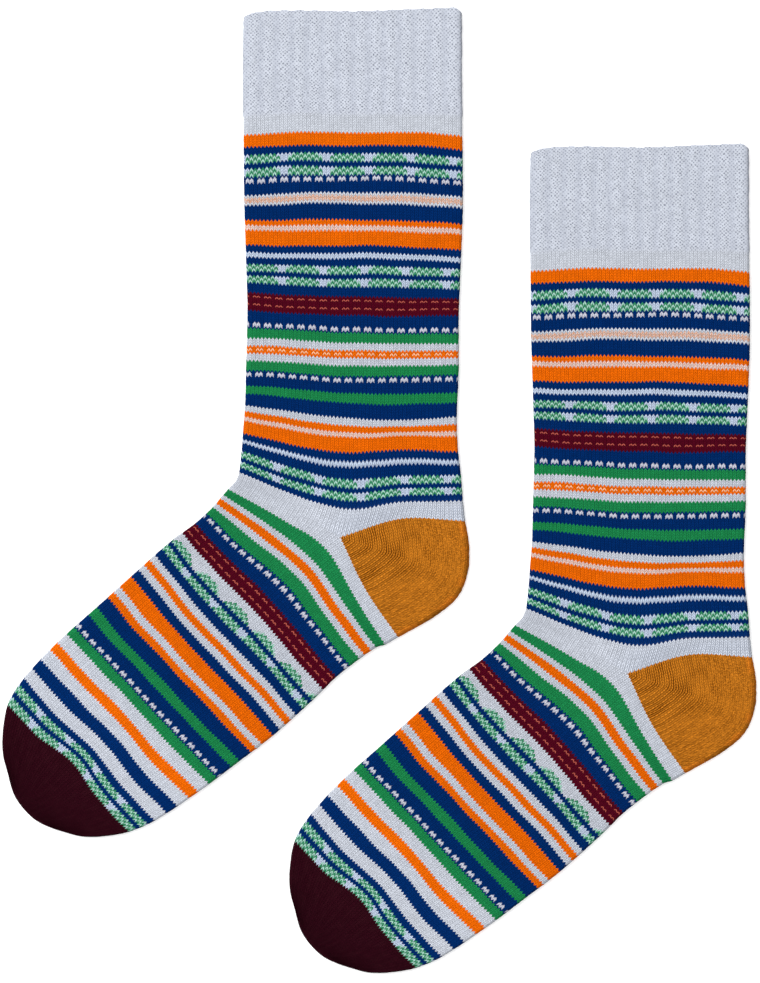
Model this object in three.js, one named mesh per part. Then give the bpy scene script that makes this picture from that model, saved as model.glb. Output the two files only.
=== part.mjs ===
// A pair of striped crew socks laid flat side by side, toes to the left, in millimetres with +Z up.
//
// Each sock is one knitted tube pressed flat. A maker knits it in five lengths, and each is a solid here: a
// ribbed cuff, a leg, a heel pocket, a foot and a toe cap. Every length is a thin wall bent round a narrow
// hollow, open where the next length begins, and the cuff's mouth is open. The wall is lofted through
// course lines, which are single rows of stitches. A sock's own frame has X from the front edge of the leg
// to its back edge, and Y up the leg, with its origin at the front end of the cuff's top edge. Towards the
// toe is along -Y in the leg.
import * as THREE from "three";

// Cloth
const PLAIN_WALL = 1.7; // the plain knit, one layer
const RIBBED_WALL = 1.9; // the cuff's knit under its ribs
const HOLLOW = 0.6; // what is left between the upper and the lower layer
const SEAM_GAP = 0.3; // between two neighbouring lengths
const COURSE_HEIGHT = 1.07; // one row of stitches in the leg
const HALF_GAP_COURSES = SEAM_GAP / 2 / COURSE_HEIGHT;

// The cuff's ribs run up the sock and stand out of the upper layer. The underside that it rests on is flat.
const RIBS_ACROSS = 14;
const POINTS_PER_RIB = 4;
const RIB_HEIGHT = 0.5;
const RIBBED_UNTIL = -10; // the course where the ribs begin to die away
const RIBS_GONE = -7; // and the one where they have, above the plain last rows of the cuff
const RIM_BEVEL = 0.5; // how much the cuff's rim is rounded on its outer and its inner side

// The rows of stitches, or courses, are counted from the first striped row of the leg, just under the cuff
const CUFF_TOP = -48;
const CUFF_END = 0;
const LAST_STRIPE = 144; // the leg's stripes end here and the plain ankle begins
const GORE = 151; // the row that splits round the heel pocket
const FIRST_STRIPE = 158; // the foot's stripes begin here
const FOOT_END = 289;
const TOE_END = 308;
const ANKLE_ABOVE = 148; // one more row each side of the split, where the ankle's cloth bends most
const ANKLE_BELOW = 154;
const TOE_BODY = [294, 299, 303, 306]; // the rows that the toe cap is lofted through, closer towards the tip

// Where the socks lie. The pair's middle is the origin.
const SOCK_PLACES = [
  { sock: "sock_1", x: -56.0, y: 197.5 },
  { sock: "sock_2", x: 61.7, y: 141.7 },
];

// How finely the walls are divided
const CHORDS_ACROSS = 10;
const CHORDS_ROUND_EDGE = 4;
const LEG_STEPS = 11;
const FOOT_STEPS = 10;
const HEEL_FANS = 7;
const TIP_ROLLS = [35, 70]; // degrees that the toe's tip has rolled over at each ring past its last row

const COLOURS = {
  cuff: { color: "#c9cfda", roughness: 0.95 },
  leg: { color: "#0d2d66", roughness: 0.9 },
  heel: { color: "#c27c1f", roughness: 0.95 },
  foot: { color: "#e06a14", roughness: 0.9 },
  toe: { color: "#3a0f18", roughness: 0.95 },
};

// Course lines of the cuff and the leg, from the front edge of the flattened tube to its back edge. The
// bows say how far the line sags towards the toe at a quarter, a half and three quarters of the way across.
const LEG_LINES = [
  { at: "cuff top", course: CUFF_TOP, front: [0.2, -1.2], back: [89.8, 0.4], bows: [0.5, 0.9, 0.6] },
  { at: "cuff middle", course: -24, front: [-0.2, -27.0], back: [89.9, -26.6], bows: [-0.3, 0.0, -0.2] },
  { at: "cuff end", course: CUFF_END, front: [0.0, -52.1], back: [90.2, -52.6], bows: [-1.3, -1.1, -1.4] },
  { at: "pale band", course: 23, front: [0.2, -76.7], back: [90.4, -77.9], bows: [-1.1, -1.2, -1.3] },
  { at: "wide orange", course: 43, front: [0.8, -97.1], back: [89.8, -99.2], bows: [-0.1, -0.6, -0.6] },
  { at: "under dark red", course: 70, front: [1.6, -123.4], back: [88.7, -124.5], bows: [1.2, 1.5, 1.3] },
  { at: "between dots", course: 94, front: [1.0, -148.3], back: [88.6, -150.2], bows: [0.4, 1.1, 0.7] },
  { at: "under green", course: 111, front: [0.6, -162.8], back: [87.9, -167.7], bows: [2.0, 3.2, 2.4] },
  { at: "under low orange", course: 124, front: [-0.2, -173.2], back: [88.5, -182.3], bows: [3.3, 4.7, 1.8] },
  { at: "upper ankle", course: 133, front: [-0.8, -181.6], back: [89.6, -191.5], bows: [4.9, 6.9, 2.6] },
  { at: "blue", course: LAST_STRIPE, front: [-1.8, -190.2], back: [90.4, -202.1], bows: [6.3, 9.5, 3.4] },
];

// Course lines of the foot and the toe, from the instep to the sole, with bows as above
const FOOT_LINES = [
  { at: "green", course: FIRST_STRIPE, front: [-5.7, -196.5], back: [58.5, -261.2], bows: [-6, -10.9, -5.6] },
  { at: "white", course: 164, front: [-7.4, -198.3], back: [55.4, -262.1], bows: [-3.2, -6.2, -3.0] },
  { at: "wide green", course: 174, front: [-12.1, -204.0], back: [47.6, -266.9], bows: [-2.0, -4.6, -2.4] },
  { at: "dark red", course: 186, front: [-19.3, -210.8], back: [38.5, -274.4], bows: [-0.3, -1.4, -0.8] },
  { at: "scallops", course: 199, front: [-29.5, -218.3], back: [28.7, -284.0], bows: [1.1, 0.1, -0.1] },
  { at: "wide orange", course: 221, front: [-46.1, -232.9], back: [12.4, -298.5], bows: [0.9, 0.8, -0.1] },
  { at: "middle green", course: 239, front: [-60.2, -245.6], back: [-1.2, -308.9], bows: [0.9, 0.7, 0.5] },
  { at: "narrow orange", course: 259, front: [-76.3, -260.0], back: [-18.1, -321.5], bows: [0.3, 0.1, 0.9] },
  { at: "last white", course: 278, front: [-90.0, -274.7], back: [-36.0, -333.3], bows: [0.3, -1.4, 0.3] },
  { at: "toe line", course: FOOT_END, front: [-96.5, -285.3], back: [-46.7, -337.9], bows: [0, -2.7, -0.3] },
  { at: "toe shoulder", course: 297, front: [-98.6, -296.4], back: [-57.6, -339.4], bows: [0.2, -0.8, 0.2] },
  { at: "toe middle", course: 303, front: [-98.5, -306.0], back: [-66.4, -339.3], bows: [0.8, 0.6, 0.8] },
  { at: "toe end", course: TOE_END, front: [-96.1, -314.4], back: [-76.6, -336.3], bows: [1.5, 1.9, 1.3] },
];

// The split row runs as one line from the instep to the gore point, where the heel pocket starts, and then
// as two: over the heel at the end of the leg, and under it at the start of the foot.
const GORE_POINT = [40.0, -217.1];
const INSTEP_HALF = { front: [-3.1, -193.9], quarter: [17.6, -203.8], middle: GORE_POINT };
const OVER_HEEL = { threeQuarter: [65.0, -209.5], back: [91.4, -210.5] };
const UNDER_HEEL = { threeQuarter: [50.2, -238.2], back: [63.8, -258.2] };
// The fold at the back of the heel, between the ends of those two
const HEEL_FOLD = [[93.0, -221.0], [92.4, -231.5], [87.9, -242.0], [77.6, -250.5]];
const HEEL_GAP_COURSES = 0.28; // the seam gap there, in courses, which stand closer together at the instep
const GORE_SHARE = 0.499; // where the gore point lies on the split row, just short of its middle station
const HEEL_START = 0.03; // the pocket's first stitches, as a share of the way from the gore point to the fold

const STATIONS = ["front", "quarter", "middle", "threeQuarter", "back"];

function planPoint([x, y]) {
  return new THREE.Vector2(x, y);
}

// A row of either table as its five stations, each a point of the plan.
function stationsOf({ course, front, back, bows }) {
  const start = planPoint(front);
  const end = planPoint(back);
  const across = end.clone().sub(start).normalize();
  const towardsToe = new THREE.Vector2(across.y, -across.x);
  const between = bows.map((bow, i) => {
    const share = (i + 1) / (bows.length + 1);
    return start.clone().lerp(end, share).addScaledVector(towardsToe, bow);
  });
  return { course, kink: 0, points: [start, ...between, end] };
}

function splitRow(heelHalf) {
  const named = { ...INSTEP_HALF, ...heelHalf };
  return { course: GORE, kink: 1, points: STATIONS.map((station) => planPoint(named[station])) };
}

const LEG_ROWS = [...LEG_LINES.map(stationsOf), splitRow(OVER_HEEL)];
const FOOT_ROWS = [splitRow(UNDER_HEEL), ...FOOT_LINES.map(stationsOf)];

// The cubic between two values with the slopes there, over a stretch of the given length.
function hermite(from, to, slopeFrom, slopeTo, length, share) {
  const square = share * share;
  const cube = square * share;
  return (
    (2 * cube - 3 * square + 1) * from +
    (cube - 2 * square + share) * length * slopeFrom +
    (3 * square - 2 * cube) * to +
    (cube - square) * length * slopeTo
  );
}

function slope(rows, i, valueOf) {
  const before = rows[Math.max(i - 1, 0)];
  const after = rows[Math.min(i + 1, rows.length - 1)];
  return (valueOf(after) - valueOf(before)) / (after.course - before.course);
}

// The course line at any course, as a smooth curve through the rows of a table.
function courseLine(rows, course) {
  let i = 0;
  while (i < rows.length - 2 && course > rows[i + 1].course) i += 1;
  const length = rows[i + 1].course - rows[i].course;
  const share = (course - rows[i].course) / length;
  const smooth = (valueOf) => {
    const slopes = [slope(rows, i, valueOf), slope(rows, i + 1, valueOf)];
    return hermite(valueOf(rows[i]), valueOf(rows[i + 1]), ...slopes, length, share);
  };
  return {
    kink: THREE.MathUtils.lerp(rows[i].kink, rows[i + 1].kink, share),
    points: STATIONS.map((_, s) =>
      new THREE.Vector2(smooth((row) => row.points[s].x), smooth((row) => row.points[s].y)),
    ),
  };
}

// The point of a course line at a share of the way across, from 0 at the front edge to 1 at the back edge.
// The line bends sharply at its middle where it has a kink.
function acrossLine({ kink, points }, share) {
  const last = points.length - 1;
  const place = THREE.MathUtils.clamp(share, 0, 1) * last;
  const i = Math.min(Math.floor(place), last - 1);
  const slopeAt = (station, axis) => {
    const step = (a, b) => (points[b][axis] - points[a][axis]) / (b - a);
    const even = step(Math.max(station - 1, 0), Math.min(station + 1, last));
    if (station !== last / 2) return even;
    return THREE.MathUtils.lerp(even, step(i, i + 1), kink);
  };
  const along = (axis) =>
    hermite(points[i][axis], points[i + 1][axis], slopeAt(i, axis), slopeAt(i + 1, axis), 1, place - i);
  return new THREE.Vector2(along("x"), along("y"));
}

function lineLength({ points }) {
  return points[0].distanceTo(points[points.length - 1]);
}

// The shares across where a wall has its points, with what each is worked out from: the centre that the
// wall bends round, and how far it has turned from facing up. The front and back edges are half circles.
function turnsRound({ edgeShare, chordsTop, open }) {
  const turns = [];
  const last = 1 - edgeShare;
  const lerp = THREE.MathUtils.lerp;
  for (let i = 0; i <= chordsTop; i += 1) {
    turns.push({ centre: lerp(edgeShare, last, i / chordsTop), turn: 0 });
  }
  for (let i = 1; i < CHORDS_ROUND_EDGE; i += 1) {
    turns.push({ centre: last, turn: (Math.PI * i) / CHORDS_ROUND_EDGE });
  }
  for (let i = 0; i <= CHORDS_ACROSS; i += 1) {
    turns.push({ centre: lerp(last, edgeShare, i / CHORDS_ACROSS), turn: Math.PI });
  }
  if (open) return turns;
  for (let i = 1; i < CHORDS_ROUND_EDGE; i += 1) {
    turns.push({ centre: edgeShare, turn: Math.PI + (Math.PI * i) / CHORDS_ROUND_EDGE });
  }
  return turns;
}

// One ring of a wall round the flattened tube, at a course line. The radius is from the middle of the
// hollow to the skin, so the outer skin of the underside lies at height 0 when the middle is one outer
// radius up.
function ringAt(line, { middleHeight, radius, outerRadius, chordsTop, rise = () => 0 }) {
  const length = lineLength(line);
  const turns = turnsRound({ edgeShare: outerRadius / length, chordsTop });
  return turns.map(({ centre, turn }) => {
    const share = centre + (radius / length) * Math.sin(turn);
    const { x, y } = acrossLine(line, share);
    const lift = turn === 0 ? rise(centre) : 0;
    return new THREE.Vector3(x, y, middleHeight + radius * Math.cos(turn) + lift);
  });
}

// Joins two lists of rings into the triangles of one closed solid. The rings of a tube close on themselves,
// and those of a bent sheet don't. A capped solid ends in a closed tip instead of an open rim.
function solidOf(outer, inner, { sheet = false, capped = false } = {}) {
  const points = [];
  const index = [];
  const count = outer[0].length;
  const indexOf = (skin, ring, i) => (skin * outer.length + ring) * count + (i % count);
  [outer, inner].forEach((skin) => skin.forEach((ring) => points.push(...ring)));
  const quad = (a, b, c, d) => index.push(a, b, c, a, c, d);
  const corners = (skin, ring, i, j) => [
    indexOf(skin, ring, i),
    indexOf(skin, ring, j),
    indexOf(skin, ring + 1, j),
    indexOf(skin, ring + 1, i),
  ];
  const spans = sheet ? count - 1 : count;
  const last = outer.length - 1;
  for (let ring = 0; ring < last; ring += 1) {
    for (let i = 0; i < spans; i += 1) {
      const [a, b, c, d] = corners(0, ring, i, i + 1);
      const [e, f, g, h] = corners(1, ring, i, i + 1);
      quad(a, b, c, d);
      quad(f, e, h, g);
    }
    if (sheet) {
      const end = count - 1;
      const next = ring + 1;
      quad(indexOf(1, ring, 0), indexOf(0, ring, 0), indexOf(0, next, 0), indexOf(1, next, 0));
      quad(indexOf(0, ring, end), indexOf(1, ring, end), indexOf(1, next, end), indexOf(0, next, end));
    }
  }
  for (let i = 0; i < spans; i += 1) {
    quad(indexOf(1, 0, i), indexOf(1, 0, i + 1), indexOf(0, 0, i + 1), indexOf(0, 0, i));
    if (capped) continue;
    quad(indexOf(0, last, i), indexOf(0, last, i + 1), indexOf(1, last, i + 1), indexOf(1, last, i));
  }
  if (capped) {
    [outer, inner].forEach((skin, side) => {
      const centre = new THREE.Vector3();
      skin[last].forEach((point) => centre.addScaledVector(point, 1 / count));
      points.push(centre);
      const hub = points.length - 1;
      for (let i = 0; i < count; i += 1) {
        const pair = [indexOf(side, last, i), indexOf(side, last, i + 1)];
        index.push(...(side === 0 ? pair : pair.reverse()), hub);
      }
    });
  }
  const geometry = new THREE.BufferGeometry().setFromPoints(points);
  geometry.setIndex(facesOut(points, index) ? index : index.reverse());
  geometry.computeVertexNormals();
  return geometry;
}

// Whether the triangles of a closed solid face outwards, by the sign of the volume they enclose.
function facesOut(points, index) {
  let volume = 0;
  for (let i = 0; i < index.length; i += 3) {
    const [a, b, c] = index.slice(i, i + 3).map((n) => points[n]);
    volume += a.dot(b.clone().cross(c));
  }
  return volume > 0;
}

// The courses of a length of the sock, at even steps, stopping half a seam gap short of each end.
function coursesBetween(start, end, steps) {
  const from = start + HALF_GAP_COURSES;
  const to = end - HALF_GAP_COURSES;
  return Array.from({ length: steps + 1 }, (_, i) => THREE.MathUtils.lerp(from, to, i / steps));
}

function tube(rows, courses, wall) {
  const outerRadius = wall + HOLLOW / 2;
  const common = { middleHeight: outerRadius, outerRadius, chordsTop: CHORDS_ACROSS };
  const rings = (radius) =>
    courses.map((course) => ringAt(courseLine(rows, course), { ...common, radius }));
  return solidOf(rings(outerRadius), rings(outerRadius - wall));
}

// How far the ribs stand out at a course, and the wall's thickness there: both die away to the plain knit.
function ribShare(course) {
  return 1 - THREE.MathUtils.smoothstep(course, RIBBED_UNTIL, RIBS_GONE);
}

function makeCuff() {
  const bevelCourses = RIM_BEVEL / COURSE_HEIGHT;
  const stations = [
    { course: CUFF_TOP, bevel: RIM_BEVEL },
    { course: CUFF_TOP + bevelCourses, bevel: 0 },
    { course: RIBBED_UNTIL, bevel: 0 },
    { course: RIBS_GONE, bevel: 0 },
    { course: CUFF_END - HALF_GAP_COURSES, bevel: 0 },
  ];
  const chordsTop = RIBS_ACROSS * POINTS_PER_RIB;
  const skin = (isOuter) =>
    stations.map(({ course, bevel }) => {
      const ribbed = ribShare(course);
      const outerRadius = THREE.MathUtils.lerp(PLAIN_WALL, RIBBED_WALL, ribbed) + HOLLOW / 2;
      const line = courseLine(LEG_ROWS, course);
      const common = { middleHeight: outerRadius, outerRadius, chordsTop };
      if (!isOuter) return ringAt(line, { ...common, radius: HOLLOW / 2 + bevel });
      const edge = outerRadius / lineLength(line);
      const ribTurns = (share) => (2 * Math.PI * RIBS_ACROSS * (share - edge)) / (1 - 2 * edge);
      const rise = (share) => (ribbed * RIB_HEIGHT * (1 - Math.cos(ribTurns(share)))) / 2;
      return ringAt(line, { ...common, radius: outerRadius - bevel, rise });
    });
  return solidOf(skin(true), skin(false));
}

function makeLeg() {
  const body = coursesBetween(CUFF_END, LAST_STRIPE, LEG_STEPS).slice(0, -1);
  return tube(LEG_ROWS, [...body, LAST_STRIPE, ANKLE_ABOVE, GORE - HEEL_GAP_COURSES], PLAIN_WALL);
}

function makeFoot() {
  const body = coursesBetween(FIRST_STRIPE, FOOT_END, FOOT_STEPS).slice(1);
  return tube(FOOT_ROWS, [GORE + HEEL_GAP_COURSES, ANKLE_BELOW, FIRST_STRIPE, ...body], PLAIN_WALL);
}

// The heel pocket is a bent sheet. Its rows fan out from the gore point to the fold at the back, from the
// row over the heel to the row under it, on the upper layer and, round the fold, on the lower one.
function makeHeel() {
  const over = courseLine(LEG_ROWS, GORE);
  const under = courseLine(FOOT_ROWS, GORE);
  const gorePoint = planPoint(GORE_POINT);
  const fold = new THREE.SplineCurve([OVER_HEEL.back, ...HEEL_FOLD, UNDER_HEEL.back].map(planPoint));
  const outerRadius = PLAIN_WALL + HOLLOW / 2;

  // A point of one of the two edge rows, as shares along and beside the chord from the gore point to the
  // fold.
  const besideChord = (line, away) => {
    const chord = acrossLine(line, 1).sub(gorePoint);
    const offset = acrossLine(line, (1 + away) / 2).sub(gorePoint);
    const square = chord.lengthSq();
    return { along: offset.dot(chord) / square, beside: offset.cross(chord) / square };
  };
  const fanPoint = (fan, away) => {
    const chord = fold.getPoint(fan).sub(gorePoint);
    const aside = new THREE.Vector2(chord.y, -chord.x);
    const a = besideChord(over, away);
    const b = besideChord(under, away);
    return gorePoint
      .clone()
      .addScaledVector(chord, THREE.MathUtils.lerp(a.along, b.along, fan))
      .addScaledVector(aside, THREE.MathUtils.lerp(a.beside, b.beside, fan));
  };
  const skin = (radius) =>
    Array.from({ length: HEEL_FANS + 1 }, (_, row) => {
      const fan = row / HEEL_FANS;
      const length = THREE.MathUtils.lerp(lineLength(over), lineLength(under), fan);
      const turns = turnsRound({ edgeShare: outerRadius / length, chordsTop: CHORDS_ACROSS, open: true });
      return turns
        .filter(({ centre }) => centre > GORE_SHARE)
        .map(({ centre, turn }) => {
          const share = centre + (radius / length) * Math.sin(turn);
          const { x, y } = fanPoint(fan, Math.max(2 * share - 1, HEEL_START));
          return new THREE.Vector3(x, y, outerRadius + radius * Math.cos(turn));
        });
    });
  return solidOf(skin(outerRadius), skin(HOLLOW / 2), { sheet: true });
}

// The toe cap closes round its tip: its skins roll over past the last row, most in the middle, as the cloth
// does round the fold at the edges.
function makeToe() {
  const outerRadius = PLAIN_WALL + HOLLOW / 2;
  const common = { middleHeight: outerRadius, outerRadius, chordsTop: CHORDS_ACROSS };
  const courses = [FOOT_END + HALF_GAP_COURSES, ...TOE_BODY, TOE_END];
  const lastLine = courseLine(FOOT_ROWS, TOE_END);
  const across = acrossLine(lastLine, 1).sub(acrossLine(lastLine, 0)).normalize();
  const forward = new THREE.Vector2(across.y, -across.x);
  const skin = (radius) => {
    const ringOf = (course) => ringAt(courseLine(FOOT_ROWS, course), { ...common, radius });
    const body = courses.map(ringOf);
    const end = body[body.length - 1];
    const shares = turnsRound({ edgeShare: outerRadius / lineLength(lastLine), chordsTop: CHORDS_ACROSS });
    const rolled = TIP_ROLLS.map((degrees) => {
      const roll = THREE.MathUtils.degToRad(degrees);
      return end.map(({ x, y, z }, i) => {
        const ahead = radius * Math.sin(roll) * Math.sqrt(Math.sin(Math.PI * shares[i].centre));
        const height = outerRadius + (z - outerRadius) * Math.cos(roll);
        return new THREE.Vector3(x + forward.x * ahead, y + forward.y * ahead, height);
      });
    });
    return [...body, ...rolled];
  };
  return solidOf(skin(outerRadius), skin(HOLLOW / 2), { capped: true });
}

const LENGTHS = { cuff: makeCuff, leg: makeLeg, heel: makeHeel, foot: makeFoot, toe: makeToe };

const pair = new THREE.Group();
for (const { sock, x, y } of SOCK_PLACES) {
  const group = new THREE.Group();
  group.position.set(x, y, 0);
  for (const [length, make] of Object.entries(LENGTHS)) {
    const material = new THREE.MeshStandardMaterial({ ...COLOURS[length], metalness: 0 });
    const mesh = new THREE.Mesh(make(), material);
    mesh.name = `${sock}_${length}`;
    group.add(mesh);
  }
  pair.add(group);
}

export default pair;
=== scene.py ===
"""Dresses a pair of striped crew socks, laid flat, in knitted cloth, and lights them on a pale floor.

The socks are made from course lines: single rows of stitches that run across the flattened tube from its
front fold to its back fold. Every piece carries two counts: the wale (a column of stitches, counted round
the tube from the front fold) and the course (a row, counted from the first striped row under the cuff). The
relief and the colours of the knit follow those two counts.
"""

import math
from typing import NamedTuple

import bmesh
import bpy
import numpy as np
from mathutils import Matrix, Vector


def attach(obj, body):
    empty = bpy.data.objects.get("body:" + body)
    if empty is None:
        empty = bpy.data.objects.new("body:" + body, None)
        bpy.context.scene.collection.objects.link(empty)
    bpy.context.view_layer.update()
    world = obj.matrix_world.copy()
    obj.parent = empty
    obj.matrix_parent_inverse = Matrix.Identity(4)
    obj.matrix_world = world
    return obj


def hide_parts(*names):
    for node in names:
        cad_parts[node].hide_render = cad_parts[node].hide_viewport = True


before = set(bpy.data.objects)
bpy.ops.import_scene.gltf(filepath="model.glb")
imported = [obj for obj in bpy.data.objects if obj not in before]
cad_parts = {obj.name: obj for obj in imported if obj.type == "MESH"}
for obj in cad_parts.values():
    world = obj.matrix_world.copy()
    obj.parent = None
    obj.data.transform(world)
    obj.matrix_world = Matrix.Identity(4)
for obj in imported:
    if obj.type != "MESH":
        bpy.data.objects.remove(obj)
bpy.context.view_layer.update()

bl_info = {
    "name": "Knitted sock pair",
    "version": (1, 0, 0),
    "blender": (4, 5, 0),
    "location": "3D View > Sidebar > Socks",
    "description": "Makes a pair of striped crew socks laid flat, with their knit, floor, lights and camera",
    "category": "Object",
}

MM = 0.001
TURN = 2 * math.pi

# Counts of the knit
WALES_ROUND = 116
CUFF_TOP = -48
CUFF_END = 0
GORE = 151  # the row that splits round the heel pocket
FOOT_END = 289
TOE_END = 308
LEG_ROWS = (CUFF_END, GORE)
FOOT_ROWS = (GORE, FOOT_END)
HEEL_WALES = (WALES_ROUND / 4, 3 * WALES_ROUND / 4)  # the pocket takes the back half of the round
HEEL_ROWS = 58  # rows of the pocket along the back fold
COURSE_HEIGHT = 1.07  # of a plain row in the leg, in millimetres
EDGE_WALE_SHARE = 0.8  # stitches on the folds are stretched, so fewer go round them

# The cuff's ribs and its mouth
RIB_WALES = 4  # one rib
FIRST_FURROW = 1.1  # the wale of the furrow between two ribs
RIBBED_UNTIL = -8.5  # the course where the ribs begin to die away
RIBS_GONE = -6
TALL_ROW = 1.38  # the height of a ribbed stitch, in the plain knit's courses
RIM_ROLLS = (90, 67.5, 45, 22.5)  # degrees that the rim has rolled over at each of its rings
RIM_RELIEF = 0.3  # how much of the knit's relief is left on the rim
RIM_NOTCH = 0.3  # how far the rim dips between two ribs, in millimetres
MOUTH_CORNERS = ((0.14, 2.1), (0.045, 2.4))  # front and back: a share of the width, a drop in millimetres
CORNER_ROWS = 7  # the rows that the dropped corners take along

# How finely the skins are divided
POINTS_PER_WALE = 2
INNER_STEPS = 9  # rings of the inner skin, which only shows at the mouth
HEEL_FANS = 44
TIP_ROLLS = (15, 30, 45, 60, 75, 90)  # degrees that the toe's tip has rolled over at each of its rings
SHARP_ANGLE = 60  # degrees from which an edge of the mesh is shaded as sharp
MERGED = 1e-6  # metres between points of the tip that become one

# How a crease ends: it is full over a share of its length, and then tapers off
CREASE_FULL = 0.4
CREASE_TAPER = 6
LOWER_CREASES = 0.5  # how deep the lower layer's creases are, as a share of the upper layer's


class Line(NamedTuple):
    """One course line, in millimetres in the sock's own frame."""

    at: str
    course: float
    front: tuple
    back: tuple
    bows: tuple  # towards the toe, at a quarter, a half and three quarters of the way across


LEG_LINES = (
    Line("cuff top", CUFF_TOP, (0.2, -1.2), (89.8, 0.4), (0.0, 0.8, 0.4)),
    Line("cuff middle", -24, (-0.2, -27.0), (89.9, -26.6), (-0.3, 0.0, -0.2)),
    Line("cuff end", CUFF_END, (0.0, -52.1), (90.2, -52.6), (-1.3, -1.1, -1.4)),
    Line("pale band", 23, (0.2, -76.7), (90.4, -77.9), (-1.1, -1.2, -1.3)),
    Line("wide orange", 43, (0.8, -97.1), (89.8, -99.2), (-0.1, -0.6, -0.6)),
    Line("low mottle", 56, (1.2, -109.6), (89.2, -112.2), (0.4, 0.4, 0.0)),
    Line("under dark red", 70, (1.6, -123.7), (88.7, -126.3), (0.9, 1.0, 0.9)),
    Line("between dots", 94, (1.0, -148.7), (88.6, -150.6), (0.4, 1.1, 0.7)),
    Line("under green", 111, (0.6, -162.8), (87.9, -167.7), (2.0, 3.2, 2.4)),
    Line("under low orange", 124, (-0.2, -173.2), (88.4, -180.8), (3.1, 4.0, 1.3)),
    Line("upper ankle", 133, (-0.8, -181.6), (89.6, -191.5), (4.9, 6.9, 2.6)),
    Line("blue", 144, (-1.8, -190.2), (90.4, -202.1), (6.3, 9.5, 3.4)),
)

FOOT_LINES = (
    Line("green", 158, (-6.2, -197.1), (58.5, -261.2), (-6.2, -10.7, -5.1)),
    Line("white", 164, (-8.3, -199.5), (55.0, -262.3), (-4.2, -6.9, -3.4)),
    Line("wide green", 174, (-12.6, -204.5), (47.8, -267.1), (-2.9, -5.0, -2.2)),
    Line("dark red", 186, (-19.7, -211.1), (38.5, -274.4), (-0.3, -1.4, -0.8)),
    Line("scallops", 199, (-29.5, -218.3), (28.7, -284.0), (1.1, 0.1, -0.1)),
    Line("wide orange", 221, (-46.1, -232.9), (12.4, -298.5), (0.9, 0.8, -0.1)),
    Line("middle green", 239, (-60.2, -245.6), (-1.2, -308.9), (0.9, 0.7, 0.5)),
    Line("narrow orange", 259, (-76.3, -260.0), (-18.1, -321.5), (0.3, 0.1, 0.9)),
    Line("last white", 278, (-90.0, -274.7), (-36.0, -333.3), (0.3, -1.4, 0.3)),
    Line("toe line", FOOT_END, (-96.5, -285.3), (-46.7, -337.9), (0, -2.7, -0.3)),
    Line("toe shoulder", 297, (-98.6, -296.4), (-57.4, -339.7), (0.2, -0.8, 0.2)),
    Line("toe middle", 303, (-98.5, -306.0), (-66.6, -339.7), (0.8, 0.6, 0.8)),
    Line("toe end", TOE_END, (-96.3, -314.6), (-76.7, -336.9), (2.0, 2.4, 2.0)),
)

# The split row, as its stations: one front half, and a back half each over and under the heel pocket
GORE_POINT = (40.0, -217.1)
INSTEP_HALF = ((-3.1, -193.9), (17.6, -203.8), GORE_POINT)
OVER_HEEL = ((65.0, -209.5), (91.4, -210.5))
UNDER_HEEL = ((50.2, -238.2), (63.8, -258.2))
HEEL_FOLD = ((93.0, -221.0), (92.4, -231.5), (87.9, -242.0), (77.6, -250.5))
HEEL_START = 0.004  # where the pocket's first stitches are, as a share of the way from the gore point


class Crease(NamedTuple):
    """One soft trough (or ridge, where the depth is negative) of the upper layer, in millimetres."""

    at: str
    start: tuple
    end: tuple
    width: float
    depth: float


CREASES = (
    Crease("ankle bend, long", (-4, -188), (33, -209), 6.0, 0.55),
    Crease("ankle bend, short", (10, -190), (30, -200), 4.0, 0.30),
    Crease("over the gore", (34, -206), (58, -203), 4.5, 0.35),
    Crease("heel, beside the gore", (48, -219), (63, -228), 4.0, -0.40),
    Crease("leg, front", (6, -96), (12, -152), 8.0, 0.30),
    Crease("leg, back", (81, -88), (76, -140), 9.0, 0.35),
    Crease("leg, middle", (44, -60), (49, -122), 11.0, -0.25),
    Crease("lower leg", (20, -160), (64, -168), 8.0, 0.30),
    Crease("foot, instep", (-18, -214), (-58, -252), 7.0, 0.30),
    Crease("foot, sole", (20, -272), (-16, -308), 8.0, 0.35),
    Crease("foot, across", (-36, -262), (-14, -286), 9.0, -0.25),
    Crease("toe", (-84, -296), (-66, -322), 8.0, 0.35),
    Crease("cuff, front", (14, -6), (17, -44), 6.0, 0.30),
    Crease("cuff, back", (71, -4), (68, -40), 8.0, 0.25),
)

# The stripes: a yarn or a motif, and its rows. The cuff comes first.
LEG_STRIPES = (
    ("cuff", 48),
    ("orange", 5), ("blue", 3), ("mottle", 3), ("blue", 2), ("mottle", 3), ("blue", 1), ("dots", 1),
    ("blue", 5), ("white", 1), ("peach", 2), ("white", 1), ("blue", 6),
    ("orange", 2), ("pink", 2), ("orange", 6), ("blue", 3), ("ice", 2), ("blue", 3),
    ("mottle", 3), ("blue", 2), ("mottle", 3), ("blue", 4),
    ("maroon", 1), ("dashes", 1), ("maroon", 2), ("dashes", 1), ("maroon", 2),
    ("blue", 5), ("dots", 1), ("blue", 1), ("green", 4), ("white", 3),
    ("orange", 1), ("pale dashes", 1), ("orange", 1), ("white", 3), ("green", 4),
    ("blue", 1), ("dots", 1), ("blue", 5), ("green", 4), ("blue", 6), ("white", 3),
    ("orange", 3), ("pink", 2), ("orange", 6), ("blue", 8),
    ("mottle", 3), ("blue", 2), ("mottle", 3), ("blue", 3), ("white", 8),
)
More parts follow.
